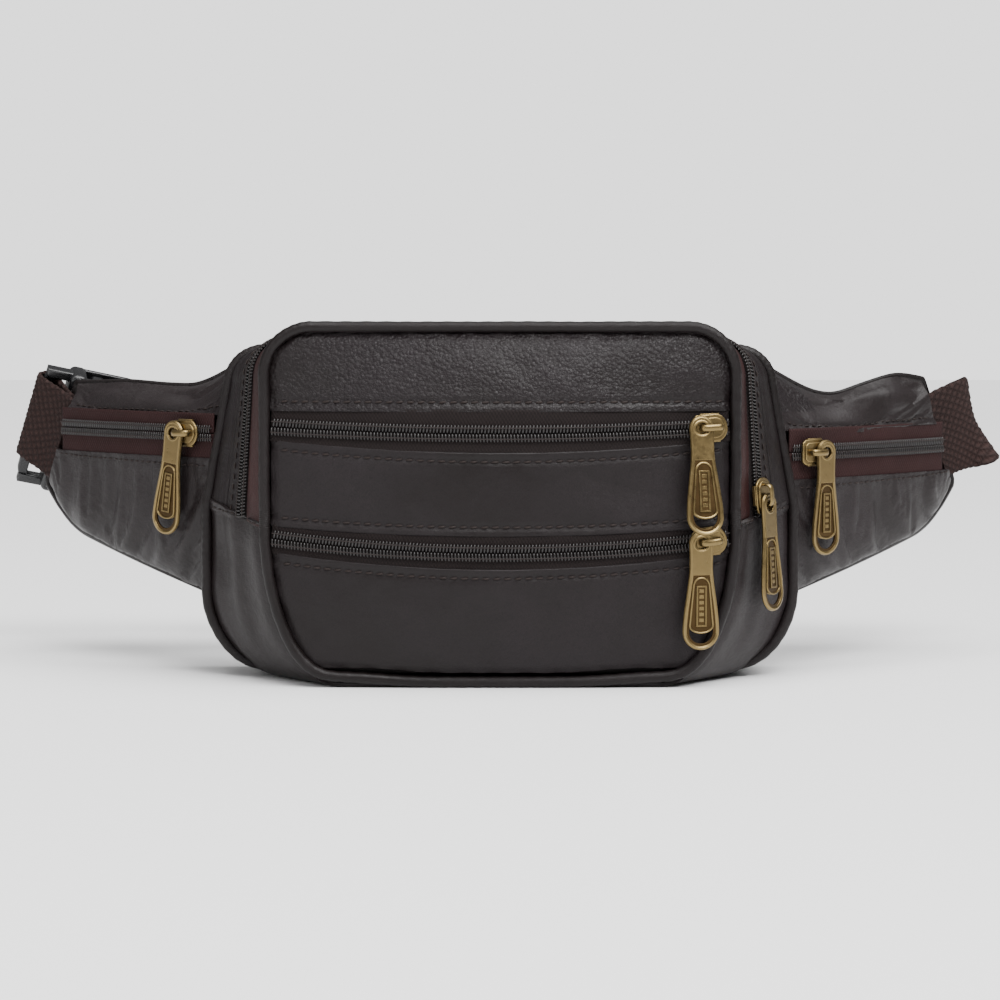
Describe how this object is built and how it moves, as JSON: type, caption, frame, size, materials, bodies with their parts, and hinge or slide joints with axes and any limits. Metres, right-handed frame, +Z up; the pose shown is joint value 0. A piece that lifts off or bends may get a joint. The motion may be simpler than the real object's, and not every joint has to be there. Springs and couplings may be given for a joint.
{
  "type": "waist pack",
  "caption": "Leather waist pack with zipped front pockets, a zipped main compartment, zipped wings and a webbing belt with a side-release buckle.",
  "frame": {"origin": "middle of the lower gusset's flat underside, halfway through the gusset's depth", "axes": "+X to the right of someone facing the front, -Y out of the front, +Z up"},
  "size_m": [0.411, 0.1628, 0.1382],
  "materials": {
    "leather": "smooth waxed, dark brown with fine creases",
    "leather_pebbled": "pebbled and glossy, dark brown",
    "zip_tape": "woven tape, dark burgundy",
    "zip_coil": "black nylon coil",
    "brass": "antique, rubbed on its edges",
    "lining": "plain dark cloth",
    "webbing": "coarse basket weave, dark red-brown",
    "plastic": "moulded black plastic, satin gloss"
  },
  "bodies": {
    "bag": {"back_panel": "leather", "base_strip": "leather", "buckle_female": "plastic", "front_panel_bottom": "leather", "front_panel_middle": "leather", "front_panel_top": "leather_pebbled", "front_partition": "lining", "front_piping": "leather", "front_pocket_divider": "lining", "front_zip_lower_tape_lower": "zip_tape", "front_zip_lower_tape_upper": "zip_tape", "front_zip_lower_teeth": "zip_coil", "front_zip_upper_tape_lower": "zip_tape", "front_zip_upper_tape_upper": "zip_tape", "front_zip_upper_teeth": "zip_coil", "gusset_rear_strip": "leather", "lower_gusset": "leather", "main_lining": "lining", "main_zip_tape_front": "zip_tape", "main_zip_tape_rear": "zip_tape", "main_zip_teeth": "zip_coil", "ridge_piping": "leather", "side_wall_left": "leather", "side_wall_right": "leather", "top_strip": "leather", "waist_belt": "webbing", "webbing_tab": "webbing", "wing_left_lining": "lining", "wing_left_panel_lower": "leather", "wing_left_panel_upper": "leather", "wing_left_tape_lower": "zip_tape", "wing_left_tape_upper": "zip_tape", "wing_left_teeth": "zip_coil", "wing_right_lining": "lining", "wing_right_panel_lower": "leather", "wing_right_panel_upper": "leather", "wing_right_tape_lower": "zip_tape", "wing_right_tape_upper": "zip_tape", "wing_right_teeth": "zip_coil"},
    "front_zip_upper_slider": {"front_zip_upper_slider": "brass"},
    "front_zip_upper_pull": {"front_zip_upper_pull": "brass"},
    "front_zip_lower_slider": {"front_zip_lower_slider": "brass"},
    "front_zip_lower_pull": {"front_zip_lower_pull": "brass"},
    "main_zip_slider": {"main_zip_slider": "brass"},
    "main_zip_pull": {"main_zip_pull": "brass"},
    "wing_left_slider": {"wing_left_slider": "brass"},
    "wing_left_pull": {"wing_left_pull": "brass"},
    "wing_right_slider": {"wing_right_slider": "brass"},
    "wing_right_pull": {"wing_right_pull": "brass"},
    "buckle_male": {"buckle_male": "plastic"},
    "buckle_prong_upper": {"buckle_prong_upper": "plastic"},
    "buckle_prong_lower": {"buckle_prong_lower": "plastic"},
    "belt_keeper": {"belt_keeper": "plastic"}
  },
  "joints": [
    {"name": "front_zip_upper_run", "type": "hinge", "parent": "bag", "child": "front_zip_upper_slider", "pos_m": [0, 0.29794, 0.16002], "axis": [0, -0.1914, 0.9815], "range_deg": [-27.1, 0.1]},
    {"name": "front_zip_lower_run", "type": "hinge", "parent": "bag", "child": "front_zip_lower_slider", "pos_m": [0, 0.25283, 0.16723], "axis": [0, -0.3794, 0.9252], "range_deg": [-29.7, 0.1]},
    {"name": "wing_left_run", "type": "hinge", "parent": "bag", "child": "wing_left_slider", "pos_m": [0.1459, 0.3617, 0.0945], "axis": [0, 0, 1], "range_deg": [-8.5, 0]},
    {"name": "wing_right_run", "type": "hinge", "parent": "bag", "child": "wing_right_slider", "pos_m": [-0.1459, 0.3617, 0.087], "axis": [0, 0, 1], "range_deg": [0, 8.5]},
    {"name": "main_zip_run", "type": "slide", "parent": "bag", "child": "main_zip_slider", "axis": [-0.0721, 0, 0.9974], "range_m": [0, 0.036]},
    {"name": "front_upper_pull_swing", "type": "hinge", "parent": "front_zip_upper_slider", "child": "front_zip_upper_pull", "pos_m": [0.07514, -0.02386, 0.09839], "axis": [-0.2253, 0.9622, -0.1529], "range_deg": [-35, 90]},
    {"name": "front_lower_pull_swing", "type": "hinge", "parent": "front_zip_lower_slider", "child": "front_zip_lower_pull", "pos_m": [0.07522, -0.02398, 0.05543], "axis": [-0.2398, 0.9708, 0.0108], "range_deg": [-35, 90]},
    {"name": "wing_left_pull_swing", "type": "hinge", "parent": "wing_left_slider", "child": "wing_left_pull", "pos_m": [-0.12684, 0.02357, 0.0945], "axis": [0.6207, 0.784, 0], "range_deg": [-12, 80]},
    {"name": "wing_right_pull_swing", "type": "hinge", "parent": "wing_right_slider", "child": "wing_right_pull", "pos_m": [0.12684, 0.02357, 0.087], "axis": [-0.6207, 0.784, 0], "range_deg": [-80, 6]},
    {"name": "main_pull_swing", "type": "hinge", "parent": "main_zip_slider", "child": "main_zip_pull", "pos_m": [0.10191, -0.00583, 0.0683], "axis": [-0.7995, 0.5978, -0.0578], "range_deg": [-40, 45]},
    {"name": "buckle_release", "type": "slide", "parent": "bag", "child": "buckle_male", "axis": [0.9296, 0.3031, -0.2096], "range_m": [0, 0.045], "deforming": ["waist_belt"]},
    {"name": "prong_upper_squeeze", "type": "hinge", "parent": "buckle_male", "child": "buckle_prong_upper", "pos_m": [-0.15343, 0.10571, 0.10102], "axis": [-0.1978, 0.8903, 0.4102], "range_deg": [-10, 0], "stiffness_Nm_per_rad": 1.2},
    {"name": "prong_lower_squeeze", "type": "hinge", "parent": "buckle_male", "child": "buckle_prong_lower", "pos_m": [-0.16326, 0.11645, 0.07297], "axis": [-0.1978, 0.8903, 0.4102], "range_deg": [0, 10], "stiffness_Nm_per_rad": 1.2},
    {"name": "keeper_run", "type": "slide", "parent": "bag", "child": "belt_keeper", "axis": [1, 0, 0], "range_m": [-0.035, 0.028]}
  ]
}
